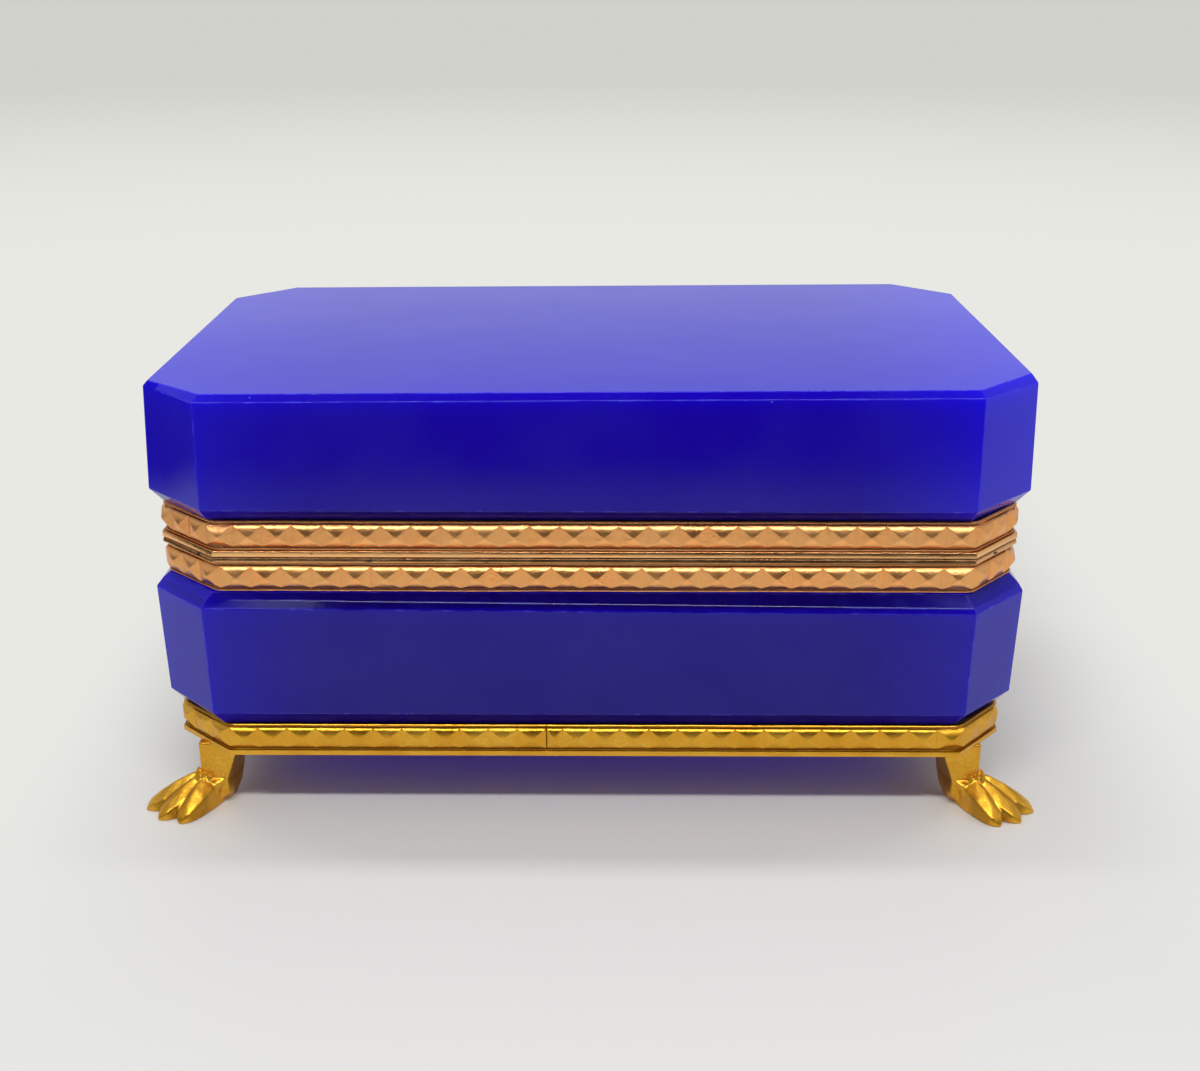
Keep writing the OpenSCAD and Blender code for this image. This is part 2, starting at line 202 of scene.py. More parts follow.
world = bpy.data.worlds.new("room")
bpy.context.scene.world = world
world.use_nodes = True
room = Wire(world.node_tree, world.node_tree.nodes["Background"].outputs[0])
heading = room.node("ShaderNodeTexCoord", output="Generated")
to_right = room.node("ShaderNodeSeparateXYZ", None, {0: heading})
to_rear, upward = to_right.also("Y"), to_right.also("Z")
rear_wall = upward.node("ShaderNodeValToRGB", {"stops": [
    (0.0, (0.68, 0.68, 0.67)), (0.19, (0.73, 0.73, 0.73)), (0.23, (0.60, 0.60, 0.60)),
    (0.27, (0.54, 0.54, 0.54)), (0.50, (0.33, 0.33, 0.33)), (1.0, (0.20, 0.20, 0.20))]}, {0: upward})
left_room = to_right.ease(-0.65, -0.15).colour((0.60, 0.60, 0.60), (0.02, 0.02, 0.02))
both_sides = to_right.ease(0.15, 0.65).colour(left_room, (0.80, 0.80, 0.80))
front_room = upward.ease(0.12, 0.35).colour((0.02, 0.02, 0.02), both_sides)
camera_ray = room.node("ShaderNodeLightPath", output="Is Camera Ray")
soft_wall = upward.ease(0.05, 0.30).colour((0.05, 0.05, 0.05), (0.38, 0.38, 0.38))
seen_wall = camera_ray.also("Is Glossy Ray").colour(soft_wall, rear_wall)
room_light = to_rear.ease(-0.30, 0.40).colour(front_room, seen_wall)
room.feed({"Color": camera_ray.colour(room_light, (0.70, 0.70, 0.67)), "Strength": 1.0})


def strip_lamp(name, place, power):
    """A long narrow lamp, level and parallel to the box's front, that points at the box."""
    made = bpy.data.objects.new(name, bpy.data.lights.new(name, "AREA"))
    made.data.shape = "RECTANGLE"
    made.data.size = 0.70
    made.data.size_y = 0.045
    made.data.energy = power
    made.location = place
    made.rotation_euler = (math.atan2(-place[1], place[2] - 0.03), 0, 0)
    bpy.context.scene.collection.objects.link(made)


strip_lamp("front_strip", (0.0, -0.425, 0.60), 3.1)
strip_lamp("rear_strip", (0.0, 0.056, 0.60), 1.0)

# The blue light that comes down through the glass on to the paper below
glow_lamp = bpy.data.objects.new("glass_glow", bpy.data.lights.new("glass_glow", "AREA"))
glow_lamp.data.shape = "RECTANGLE"
glow_lamp.data.size, glow_lamp.data.size_y = 0.118, 0.060
glow_lamp.data.energy = 0.0036
glow_lamp.data.color = (0.10, 0.01, 1.0)
glow_lamp.location = (0, 0, 0.0132)
bpy.context.scene.collection.objects.link(glow_lamp)


# ---------------------------------------------------------------------------------------------
# Glass lid and base. Each is a heavy box of blue opaline glass, pressed, then cut and polished by
# hand: the flats wander a little, the lid's top tilts, and the ground edges catch the light.
# ---------------------------------------------------------------------------------------------
# A corner of an outline ends a side wall where its X is more than this many times its Y
SIDE_SHARE = 1.9


def outlines_of(node):
    """Level octagons of a CAD node: (height, half width, half depth, corner cut), lowest first."""
    levels = {}
    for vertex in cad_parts[node].data.vertices:
        x, y, z = vertex.co
        levels.setdefault(round(z, 5), set()).add((round(abs(x), 5), round(abs(y), 5)))
    found = []
    for height, corners in sorted(levels.items()):
        side_ends = sorted(p for p in corners if p[0] > SIDE_SHARE * p[1])
        front_ends = sorted(p for p in corners if p[0] <= SIDE_SHARE * p[1])
        for side, front in zip(side_ends, front_ends):
            found.append((height, side[0], front[1], side[0] - front[0]))
    return found


def corners_of(width, depth, cut):
    """An octagon's corners, anticlockwise from the right side's rear one."""
    return [Vector(p) for p in (
        (width, depth - cut), (width - cut, depth), (cut - width, depth), (-width, depth - cut),
        (-width, cut - depth), (cut - width, -depth), (width - cut, -depth), (width, cut - depth))]


# How many pieces each of the eight sides is cut into, and the numbers of the four front corners
SIDE_STEPS = (4, 30, 4, 16, 4, 30, 4, 16)
LEFT_FRONT, FRONT_LEFT, FRONT_RIGHT, RIGHT_FRONT = 4, 5, 6, 7


def cut_loop(outline, shifts, wander, seed):
    """The points of one outline, each corner moved by its shift, with a slight waver between."""
    height, width, depth, cut = outline
    corners = [Vector((*p, height)) for p in corners_of(width, depth, cut)]
    corners = [p + Vector(shifts.get(i, (0, 0, 0))) for i, p in enumerate(corners)]
    points = []
    for i, steps in enumerate(SIDE_STEPS):
        for k in range(steps):
            point = corners[i].lerp(corners[(i + 1) % 8], k / steps)
            waver = noise.noise_vector(Vector((point.x * 28, point.y * 28, height * 55 + seed)))
            points.append(point + Vector((waver.x * wander, waver.y * wander, 0)))
    return points


def join_rings(form, rings):
    """Adds the faces between each ring of vertices and the next one."""
    for low, high in zip(rings, rings[1:]):
        for i in range(len(low)):
            j = (i + 1) % len(low)
            form.faces.new((low[i], low[j], high[j], high[i]))


def tube_of(name, loops, materials):
    """A closed solid through loops of equally many points, with the first and last ones filled."""
    form = bmesh.new()
    rings = [[form.verts.new(p) for p in loop] for loop in loops]
    join_rings(form, rings)
    form.faces.new(reversed(rings[0]))
    form.faces.new(rings[-1])
    bmesh.ops.recalc_face_normals(form, faces=form.faces)
    return mesh_object(name, mesh_of(name, form), materials)


def round_edges(piece, width, angle=20, segments=2, edge_material=-1):
    """Small radii on every edge sharper than the angle, with smooth shading over them."""
    for polygon in piece.data.polygons:
        polygon.use_smooth = True
    bevel = piece.modifiers.new("edges", "BEVEL")
    bevel.width = width
    bevel.segments = segments
    bevel.limit_method = "ANGLE"
    bevel.angle_limit = math.radians(angle)
    bevel.material = edge_material
    bevel.harden_normals = True


DUST_BLUE = (0.22, 0.24, 0.80)
EDGE_BLUE = (0.05, 0.05, 0.72)
OPALINE_SCATTER = {"IOR": 1.34, "Subsurface Weight": 1.0, "Subsurface Radius": (0.3, 0.2, 1.0),
                   "Subsurface Scale": 11 * MM}
# Painted light and shade by height: the blue is brighter high up on the lid, where light comes in
# through the top and spreads down the translucent glass, and darkest beside the metal.
BLUE_BY_HEIGHT = (
    (12 * MM, 0.20), (21.1 * MM, 0.14), (21.5 * MM, 0.24), (41.0 * MM, 0.29), (41.5 * MM, 0.12),
    (49 * MM, 0.13), (56 * MM, 0.13), (58.5 * MM, 0.14), (58.9 * MM, 0.31), (68 * MM, 0.40),
    (77.2 * MM, 0.43), (79 * MM, 0.36))
# Painted light: the flat tops get a brighter blue than the sides, and the ends a glowing blue, most at
# the right, for light coming through the translucent corners.
TOP_BLUE = (0.010, 0.004, 0.59)
PAINTED_END_GLOW_BLUE = (0.02, 0.01, 0.80)


def painted_opaline_blue(wire, place):
    """The glass's blue, with painted light and shade: darkest beside the metal, brighter high up, on
    the tops and towards both ends, most at the right end, where light comes through the translucent
    glass.
    """
    height = wire.node("ShaderNodeSeparateXYZ", None, {0: place}, "Z")
    top = BLUE_BY_HEIGHT[-1][0]
    share = wire.math("DIVIDE", height, top)
    upright = share.node("ShaderNodeValToRGB", {"stops": [
        (z / top, (0.003 + 0.018 * blue, 0.001 + 0.001 * blue, blue)) for z, blue in BLUE_BY_HEIGHT]},
        {0: share})
    normal = wire.node("ShaderNodeSeparateXYZ", None, {0: place.also("Normal")}, "Z")
    body = normal.ease(0.75, 0.95).colour(upright, TOP_BLUE)
    across = height.also("X")
    # Painted light: more of the glowing blue at the right end than at the left.
    right_end = across.ease(40 * MM, 78 * MM) * height.ease(40 * MM, 60 * MM, 0.32, 0.75)
    left_end = across.ease(-78 * MM, -40 * MM, 0.42, 0)
    return (right_end + left_end).colour(body, PAINTED_END_GLOW_BLUE)


opaline, glass = new_finish("opaline", OPALINE_SCATTER)
glass_place = object_place(glass)
swirl = glass.cloud(glass_place, 45)
dust = glass.node("ShaderNodeTexVoronoi", {"feature": "F1"}, {"Vector": glass_place, "Scale": 130})
dust_pick = glass.node("ShaderNodeSeparateColor", None, {0: dust.also("Color")}, 0)
dust_mark = dust.ease(0.008, 0.02, 1, 0) * dust_pick.ease(0.72, 0.8)
blue_with_painted_light = painted_opaline_blue(glass, glass_place)
swirled_blue_with_painted_light = (swirl.ease(0.3, 0.7) * 0.02).colour(blue_with_painted_light, DUST_BLUE)
smudge = glass.cloud(glass_place, 90, 4)
flow = glass.node("ShaderNodeBump", None, {"Strength": 0.12, "Distance": 0.3 * MM,
                                           "Height": glass.cloud(glass_place, 60, 1)})
glass.feed({"Base Color": dust_mark.colour(swirled_blue_with_painted_light, DUST_BLUE),
            "Roughness": smudge.ease(0.35, 0.75, 0.05, 0.12), "Normal": flow})

# The ground edges get patches of a paler blue: partly the ground glass's own paler tone, partly a
# painted highlight along the edges.
ground_edge, rim_glass = new_finish("ground_edge", OPALINE_SCATTER)
edge_place = object_place(rim_glass)
nicks_and_glints = rim_glass.cloud(edge_place, 260, 3)
edge_blue = painted_opaline_blue(rim_glass, edge_place)
rim_glass.feed({"Base Color": (nicks_and_glints.ease(0.35, 0.7) * 0.35).colour(edge_blue, EDGE_BLUE),
                "Roughness": nicks_and_glints.ease(0.3, 0.7, 0.10, 0.30)})

cut_bevel, dim_glass = new_finish("cut_bevel", {**OPALINE_SCATTER, "Specular IOR Level": 0.03})
bevel_place = object_place(dim_glass)
wheel_marks = dim_glass.cloud(bevel_place, 400, 3)
dim_glass.feed({"Base Color": (wheel_marks.ease(0.4, 0.7) * 0.04).colour(
    painted_opaline_blue(dim_glass, bevel_place), EDGE_BLUE),
    "Roughness": wheel_marks.ease(0.3, 0.7, 0.06, 0.11)})

WANDER = 0.025 * MM
EDGE_ROUND = 0.14 * MM
LID_TILT = 0.0072


def tilt_shifts(outline, slope, extra):
    """Shifts that raise an outline towards the right, plus some corners' own ones in millimetres."""
    shifts = {}
    for i, corner in enumerate(corners_of(*outline[1:])):
        x, y, z = extra.get(i, (0, 0, 0))
        shifts[i] = (x * MM, y * MM, corner.x * slope + z * MM)
    return shifts


def glass_loops(node, mouth_low):
    """A glass box's outlines in order, from its hollow's end, round the mouth, to its outside, and
    how many of them are inner ones."""
    outlines = outlines_of(node)
    mouth = min(outlines) if mouth_low else max(outlines, key=lambda o: (o[0], -o[1]))
    inner = [o for o in outlines if o[1] <= mouth[1]]
    inner.sort(key=lambda o: -abs(o[0] - mouth[0]))
    outer = [o for o in outlines if o[1] > mouth[1]]
    chain = list(inner)
    while outer:
        nearest = min(outer, key=lambda o: (abs(o[0] - chain[-1][0]), abs(o[1] - chain[-1][1])))
        outer.remove(nearest)
        chain.append(nearest)
    return chain, len(inner)


def cut_loops(chain, inner, shifts, seed):
    """The points of all of a glass box's outlines. Only the outer ones waver."""
    return [cut_loop(outline, shifts.get(outline, {}), 0 if i < inner else WANDER, seed)
            for i, outline in enumerate(chain)]


GLASS_FINISHES = [opaline, ground_edge, cut_bevel]
lid_chain, lid_inner = glass_loops("lid_glass", True)
lid_top, lid_edge = lid_chain[-1], lid_chain[-2]
lid_shifts = {
    lid_top: tilt_shifts(lid_top, LID_TILT, {LEFT_FRONT: (0.3, -1.4, 0), FRONT_LEFT: (0.3, 0, 0)}),
    lid_edge: tilt_shifts(lid_edge, LID_TILT, {LEFT_FRONT: (0, 0.9, -0.3), RIGHT_FRONT: (0, 0, -0.4)}),
}
lid_loops = cut_loops(lid_chain, lid_inner, lid_shifts, seed=1.7)
lid_glass = tube_of("lid_glass_cut", lid_loops, GLASS_FINISHES)

base_chain, base_inner = glass_loops("base_glass", False)
bevel_top = base_inner + 2
bevel_foot = bevel_top + 1
base_shifts = {base_chain[bevel_foot]: {FRONT_RIGHT: (0, 0, -0.7 * MM),
                                        RIGHT_FRONT: (0, 0, -0.5 * MM)}}
base_loops = cut_loops(base_chain, base_inner, base_shifts, seed=5.3)

# The ridge along the base's upper bevel: how far down the bevel it lies at each of the corners
RIDGE_SHARE = (0.4, 0.4, 0.4, 0.4, 0.4, 0.4, 0.72, 0.6)
RIDGE_OUT = 0.29 * MM
ridge = []
for i, steps in enumerate(SIDE_STEPS):
    for k in range(steps):
        high, low = base_loops[bevel_top][len(ridge)], base_loops[bevel_foot][len(ridge)]
        share = RIDGE_SHARE[i] + (RIDGE_SHARE[(i + 1) % 8] - RIDGE_SHARE[i]) * k / steps
        ridge.append(high.lerp(low, share) + Vector((low.x, low.y, 0)).normalized() * RIDGE_OUT)
base_loops.insert(bevel_foot, ridge)
base_glass = tube_of("base_glass_cut", base_loops, GLASS_FINISHES)

# The bevels in front and behind, but not the lid's upper ones, have the dimmer finish
BEVELS_BELOW = 60 * MM
for piece, node, body in ((lid_glass, "lid_glass", "lid"), (base_glass, "base_glass", "base")):
    for polygon in piece.data.polygons:
        if (0.3 < abs(polygon.normal.z) < 0.95 and abs(polygon.normal.x) < 0.3
                and polygon.center.z < BEVELS_BELOW):
            polygon.material_index = GLASS_FINISHES.index(cut_bevel)
    round_edges(piece, EDGE_ROUND, angle=9, segments=3,
                edge_material=GLASS_FINISHES.index(ground_edge))
    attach(piece, body)
    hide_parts(node)


# ---------------------------------------------------------------------------------------------
# Plaster. The glass is bedded in its metal rims and its foot with a thin layer of plaster. Of the
# three beds, only the foot's can be seen from outside.
# ---------------------------------------------------------------------------------------------
def dressed(node, width, materials):
    """A CAD node's own shape as a clean mesh, with its edges slightly rounded."""
    form = bmesh.new()
    form.from_mesh(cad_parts[node].data)
    bmesh.ops.remove_doubles(form, verts=form.verts, dist=0.002 * MM)
    bmesh.ops.dissolve_limit(form, angle_limit=math.radians(0.5), verts=form.verts, edges=form.edges)
    piece = mesh_object(node + "_made", mesh_of(node, form), materials)
    round_edges(piece, width)
    return piece


def settle(piece, node, body):
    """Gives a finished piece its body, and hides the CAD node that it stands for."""
    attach(piece, body)
    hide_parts(node)


plaster, bed = new_finish("plaster", {"Roughness": 0.9})
bed_grain = bed.cloud(object_place(bed), 1500, 4)
bed.feed({"Base Color": bed_grain.colour((0.46, 0.43, 0.36), (0.68, 0.65, 0.58)),
          "Normal": bed.node("ShaderNodeBump", None,
                             {"Strength": 0.6, "Distance": 0.1 * MM, "Height": bed_grain})})
for node, body in (("lid_cement", "lid"), ("base_cement", "base"), ("foot_cement", "base")):
    settle(dressed(node, 0.04 * MM, [plaster]), node, body)


# ---------------------------------------------------------------------------------------------
# Lid rim and base rim. Each is an L-section of gilt brass bent round the glass and soldered; the
# plain edges meet at the parting line, and the front corners sit a little to the right.
# ---------------------------------------------------------------------------------------------
def gilt(name, bright, dull, dark, spots, rough, satin=0.27):
    """Worn gilding: a satin grain, darker metal in the hollows, and small spots of corrosion."""
    material, metal = new_finish(name, {"Metallic": 1.0})
    place = object_place(metal)
    grain = metal.cloud(place, 4200, 2, 0.6)
    patches = metal.cloud(place, 170, 3)
    recess = metal.node("ShaderNodeAttribute", {"attribute_name": "recess"}, output="Fac")
    worn = (patches.ease(0.3, 0.7) * grain.ease(0.25, 0.7)).colour(dull, bright)
    hollow = recess.ease(0.25, 1.0) * grain.ease(0.3, 0.6, 0.5, 1)
    spot = metal.cloud(place, 420, 4).ease(spots, spots + 0.05)
    tone = (hollow * 0.92).colour(worn, dark)
    wear = metal.cloud(place, 900, 2)
    metal.feed({
        "Base Color": spot.colour(tone, dark),
        "Roughness": patches.ease(0.25, 0.75, satin, satin + 0.11) + hollow * 0.12,
        "Normal": metal.node("ShaderNodeBump", None, {
            "Strength": rough, "Distance": 0.075 * MM, "Height": grain * 0.7 + wear})})
    return material


ROSE = gilt("rose_gilt", (1.0, 0.55, 0.21), (1.0, 0.45, 0.15), (0.11, 0.05, 0.04), 0.70, 0.9)
ROSE_PLATE = gilt("rose_gilt_plate", (1.0, 0.60, 0.26), (1.0, 0.51, 0.20), (0.11, 0.05, 0.04), 0.66,
                  0.35, 0.15)
FRONT_SHIFT = 0.9 * MM
FRONT_CORNER_X, FRONT_SIDE_Y = 70 * MM, -36 * MM
TOUCH = 0.01 * MM
LEAN_DROP = 1.3
POLISHED = 0.5 * MM


def shift_front_corners(mesh):
    """Moves the front side's two corners to the right, as the bent metal has them."""
    for vertex in mesh.vertices:
        if vertex.co.y < FRONT_SIDE_Y and abs(vertex.co.x) < FRONT_CORNER_X:
            vertex.co.x += FRONT_SHIFT


def lean_edge(node, mesh, lean, tone):
    """Moves a rim's upper outer edge in by the size of lean, and down, or up where lean is below
    zero, by a little more. Its recess becomes the tone."""
    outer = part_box(node)[1]
    wall_x, wall_y = outer.x - TOUCH, outer.y - TOUCH
    top = max(round(v.co.z, 6) for v in mesh.vertices if abs(v.co.x) > wall_x)
    for vertex in mesh.vertices:
        at_edge = abs(vertex.co.x) > wall_x or abs(vertex.co.y) > wall_y
        if at_edge and round(vertex.co.z, 6) == top:
            vertex.co -= Vector((math.copysign(lean, vertex.co.x), math.copysign(lean, vertex.co.y),
                                 lean * LEAN_DROP))
            mesh.attributes["recess"].data[vertex.index].value = tone


def darken_inside(node, mesh):
    """Marks all of a frame but its outer edge as recessed, where polish and light don't reach."""
    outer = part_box(node)[1]
    recess = mesh.attributes.new("recess", "FLOAT", "POINT")
    for vertex in mesh.vertices:
        near = min(outer.x - abs(vertex.co.x), outer.y - abs(vertex.co.y))
        recess.data[vertex.index].value = 1.0 if near > POLISHED else 0.0


for node, body, lean, tone in (("lid_rim", "lid", -0.08 * MM, 0.0),
                               ("base_rim", "base", 0.14 * MM, 0.8)):
    rim = dressed(node, 0.09 * MM, [ROSE_PLATE])
    darken_inside(node, rim.data)
    lean_edge(node, rim.data, lean, tone)
    shift_front_corners(rim.data)
    settle(rim, node, body)


# ---------------------------------------------------------------------------------------------
# Stamped strips of the lid and base. A thin gilt brass strip with a row of pyramid points between
# two milled edges is wrapped softly round each rim and soldered, open at the back for the hinge.
# ---------------------------------------------------------------------------------------------
PLINTH = 0.34 * MM
SHOULDER_SHARE = 0.55
# How many times more the lower half of each point is darkened than its upper half.
LOWER_DARKENING = 4


def point_mesh(name, height, point_height, relief, plinth):
    """One pyramid point, 1 wide along X and standing out towards -Y, with rounded ridges."""
    form = bmesh.new()
    middle, half = height / 2, point_height / 2
    recess = form.verts.layers.float.new("recess")
    ridge = form.edges.layers.float.new("bevel_weight_edge")
    shoulder = plinth + (relief - plinth) * SHOULDER_SHARE
    rings = []
    # From the back to the tip: Y, half width, half height, how far the ring hangs, and its recess
    for y, half_w, half_h, drop, deep in (
            (0.12 * MM, 0.5, half, 0, 1.0), (-0.07 * MM, 0.5, half, 0, 1.0),
            (-plinth, 0.5, half - 0.17 * MM, 0, 0.1),
            (-shoulder, 0.325, half - 0.72 * MM, 0.03 * MM, 0.0),
            (-relief, 0.04, 0.16 * MM, 0.12 * MM, 0.0)):
        ring = [form.verts.new((0.5 + x * half_w, y, middle - drop + z * half_h))
                for x, z in ((-1, -1), (1, -1), (1, 1), (-1, 1))]
        for vertex in ring:
            vertex[recess] = min(1.0, LOWER_DARKENING * deep) if vertex.co.z < middle else deep
        rings.append(ring)
    form.faces.new(reversed(rings[0]))
    form.faces.new(rings[-1])
    join_rings(form, rings)
    for near, far in zip(rings[1:], rings[2:]):
        for start, end in zip(near, far):
            form.edges.get((start, end))[ridge] = 1.0
    for face in form.faces:
        face.smooth = True
    for ring in rings[:3]:
        for start, end in ((0, 3), (1, 2)):
            form.edges.get((ring[start], ring[end])).smooth = False
    bmesh.ops.recalc_face_normals(form, faces=form.faces)
    return mesh_of(name, form)


def bead_mesh(name, height, bead_height, width, stand):
    """The strip's two milled edges at one place: a small bar below the points and one above."""
    form = bmesh.new()
    recess = form.verts.layers.float.new("recess")
    from_edge = bead_height * 0.75
    for middle in (from_edge, height - from_edge):
        rings = []
        for y, share, deep in ((0.1 * MM, 1.0, 1.0), (-stand, 0.6, 0.1)):
            half_w, half_h = width * share / 2, bead_height * share / 2
            ring = [form.verts.new((x, y, middle + z)) for x, z in (
                (-half_w, -half_h), (half_w, -half_h), (half_w, half_h), (-half_w, half_h))]
            for vertex in ring:
                vertex[recess] = deep
            rings.append(ring)
        join_rings(form, rings)
        form.faces.new(rings[-1])
        form.faces.new(reversed(rings[0]))
    bmesh.ops.recalc_face_normals(form, faces=form.faces)
    return mesh_of(name, form)


def blank_mesh(name, height, thickness, steps, seam_z):
    """The plain strip, 1 long along X, with its front at Y = 0, and a dark solder seam beside it."""
    form = bmesh.new()
    lip, sunk = 0.10 * MM, 0.06 * MM
    section = [(0, lip), (sunk, lip * 2), (sunk, height - lip * 2), (0, height - lip),
               (lip, height), (thickness, height), (thickness, 0), (lip, 0)]
    seam = [(-0.38 * MM, seam_z), (0.1 * MM, seam_z + 0.09 * MM), (0.1 * MM, seam_z - 0.07 * MM)]
    recess = form.verts.layers.float.new("recess")
    for outline, sunk_points in ((section, (1, 2)), (seam, (0, 1, 2))):
        rings = [[form.verts.new((k / steps, y, z)) for y, z in outline] for k in range(steps + 1)]
        for ring in rings:
            for i in sunk_points:
                ring[i][recess] = 1.0
        join_rings(form, rings)
        form.faces.new(rings[0])
        form.faces.new(reversed(rings[-1]))
    bmesh.ops.recalc_face_normals(form, faces=form.faces)
    return mesh_of(name, form)


ARC_STEPS = 8


def bent_path(corners, radius, start, end):
    """Points along straight lines with round corners of one radius, from start to end."""
    stops = [start, *corners, end]
    points = [start]
    for before, corner, after in zip(stops, stops[1:], stops[2:]):
        come, go = (corner - before).normalized(), (after - corner).normalized()
        turn = come.angle(go)
        reach = radius * math.tan(turn / 2)
        first = corner - come * reach
        centre = first + Vector((-come.y, come.x)) * radius
        for k in range(ARC_STEPS + 1):
            spoke = first - centre
            angle = turn * k / ARC_STEPS
            points.append(centre + Vector((spoke.x * math.cos(angle) - spoke.y * math.sin(angle),
                                           spoke.x * math.sin(angle) + spoke.y * math.cos(angle))))
    return [*points, end]


def strip_tree(name, point, bead, blank, material):
    """Geometry Nodes that lay points, beads and the plain strip straight, then bend them round."""
    tree = bpy.data.node_groups.new(name, "GeometryNodeTree")
    tree.interface.new_socket("Path", in_out="INPUT", socket_type="NodeSocketGeometry")
    for size in ("First point", "Pitch", "Bead pitch", "Height above floor", "Waver"):
        tree.interface.new_socket(size, in_out="INPUT", socket_type="NodeSocketFloat")
    tree.interface.new_socket("Strip", in_out="OUTPUT", socket_type="NodeSocketGeometry")
    given = Wire(tree).node("NodeGroupInput")
    first, pitch, beads = given.also("First point"), given.also("Pitch"), given.also("Bead pitch")
    length = given.node("GeometryNodeCurveLength", None, {"Curve": given.also("Path")})
    index = given.node("GeometryNodeInputIndex")

    def along(value):
        return given.node("ShaderNodeCombineXYZ", None, {"X": value})

    def laid(count, place, thing, scale):
        """Instances of an object at so many places along X."""
        spots = given.node("GeometryNodePoints", None, {"Count": count, "Position": along(place)})
        shape = given.node("GeometryNodeObjectInfo", None, {"Object": thing}, "Geometry")
        return given.node("GeometryNodeInstanceOnPoints", None,
                          {"Points": spots, "Instance": shape, "Scale": scale})

    start = given.math("MAXIMUM", first + (index - 1) * pitch, 0.0)
    end = given.math("MINIMUM", first + index * pitch, length)
    stand = given.node("FunctionNodeRandomValue", {"data_type": "FLOAT"}, {"Seed": 5}, 1)
    width = given.node("ShaderNodeCombineXYZ", None,
                       {"X": end - start, "Y": stand * 0.16 + 0.88, "Z": stand * 0.03 + 0.985})
    full = given.math("CEIL", given.math("DIVIDE", length - first, pitch) - 0.02)
    points = laid(full + 1, start, point, width)
    bead_count = given.math("FLOOR", given.math("DIVIDE", length, beads))
    milled = laid(bead_count, (index + 0.5) * beads, bead, (1, 1, 1))
    blank_shape = given.node("GeometryNodeObjectInfo", None, {"Object": blank}, "Geometry")
    stretch = given.node("ShaderNodeCombineXYZ", None, {"X": length, "Y": 1.0, "Z": 1.0})
    plain = given.node("GeometryNodeTransform", None, {"Geometry": blank_shape, "Scale": stretch})
    joined = given.node("GeometryNodeJoinGeometry", None, {"Geometry": [points, milled, plain]})
    solid = given.node("GeometryNodeRealizeInstances", None, {"Geometry": joined})
    place = given.node("ShaderNodeSeparateXYZ", None, {0: given.node("GeometryNodeInputPosition")})
    sample = given.node("GeometryNodeSampleCurve", {"mode": "LENGTH", "use_all_curves": True},
                        {"Curves": given.also("Path"), "Length": place.also("X")}, "Position")
    inward = given.node("ShaderNodeVectorMath", {"operation": "CROSS_PRODUCT"},
                        {0: (0, 0, 1), 1: sample.also("Tangent")})
    inset = given.node("ShaderNodeVectorMath", {"operation": "SCALE"},
                       {0: inward, "Scale": place.also("Y")})
    waver = given.cloud(along(place.also("X")), 60, 1) - 0.5
    lift = given.node("ShaderNodeCombineXYZ", None, {
        "Z": place.also("Z") + given.also("Height above floor") + waver * given.also("Waver")})
    bent = given.node("ShaderNodeVectorMath", {"operation": "ADD"}, {0: sample, 1: inset})
    bent = given.node("ShaderNodeVectorMath", {"operation": "ADD"}, {0: bent, 1: lift})
    shaped = given.node("GeometryNodeSetPosition", None, {"Geometry": solid, "Position": bent})
    done = given.node("GeometryNodeSetMaterial", None, {"Geometry": shaped, "Material": material})
    out = tree.nodes.new("NodeGroupOutput")
    tree.links.new(done.socket, out.inputs["Strip"])
    return tree


BEAD_PITCH, BEAD_STAND = 0.42 * MM, 0.14 * MM
BLANK_STEPS = 900


def stamped_strip(name, path, sizes, strip, material):
    """A strip along a path. strip is (height, point height, relief, thickness, seam's height)."""
    height, point_height, relief, thickness, seam_z = strip
    edge = (height - point_height) / 2
    tools = [bpy.data.objects.new(name + "_" + mesh.name, mesh) for mesh in (
        point_mesh("point", height, point_height, relief, PLINTH),
        bead_mesh("bead", height, edge * 0.55, BEAD_PITCH * 0.80, BEAD_STAND),
        blank_mesh("blank", height, thickness, BLANK_STEPS, seam_z))]
    tree = strip_tree(name + "_tree", *tools, material)
    line = bpy.data.curves.new(name + "_path", "CURVE")
    line.dimensions = "3D"
    spline = line.splines.new("POLY")
    spline.points.add(len(path) - 1)
    for point, (x, y) in zip(spline.points, path):
        point.co = (x, y, 0, 1)
    maker = bpy.data.objects.new(name + "_maker", line)
    bpy.context.scene.collection.objects.link(maker)
    modifier = maker.modifiers.new("strip", "NODES")
    modifier.node_group = tree
    inputs = {i.name: i.identifier for i in tree.interface.items_tree if i.in_out == "INPUT"}
    for size, value in sizes.items():
        modifier[inputs[size]] = value
    depsgraph = bpy.context.evaluated_depsgraph_get()
    mesh = bpy.data.meshes.new_from_object(maker.evaluated_get(depsgraph))
    mesh.name = name
    bpy.data.objects.remove(maker)
    for tool in tools:
        bpy.data.objects.remove(tool)
    made = mesh_object(name + "_stamped", mesh, [])
    ridges = made.modifiers.new("ridges", "BEVEL")
    ridges.width = 0.07 * MM
    ridges.segments = 2
    ridges.limit_method = "WEIGHT"
    ridges.harden_normals = True
    return made


STRIP_INSET = 0.6 * MM
STRIP_BEND = 2.4 * MM
STRIP_GAP = 0.12 * MM
SOLDER_GAP = 0.14 * MM
FRONT_LINE_Y = -40 * MM
hinge_low, hinge_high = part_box("lid_hinge_plate")


def face_corners(node, inset):
    """The corners of a frame's outer octagon, moved in by inset, with the front ones shifted."""
    width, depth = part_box(node)[1].xy
    side_end = max(abs(v.co.y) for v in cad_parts[node].data.vertices
                   if abs(v.co.x) > width - TOUCH)
    cut = depth - side_end - inset * (2 - math.sqrt(2))
    corners = corners_of(width - inset, depth - inset, cut)
    for i in (FRONT_LEFT, FRONT_RIGHT):
        corners[i] = corners[i] + Vector((FRONT_SHIFT, 0))
    return corners


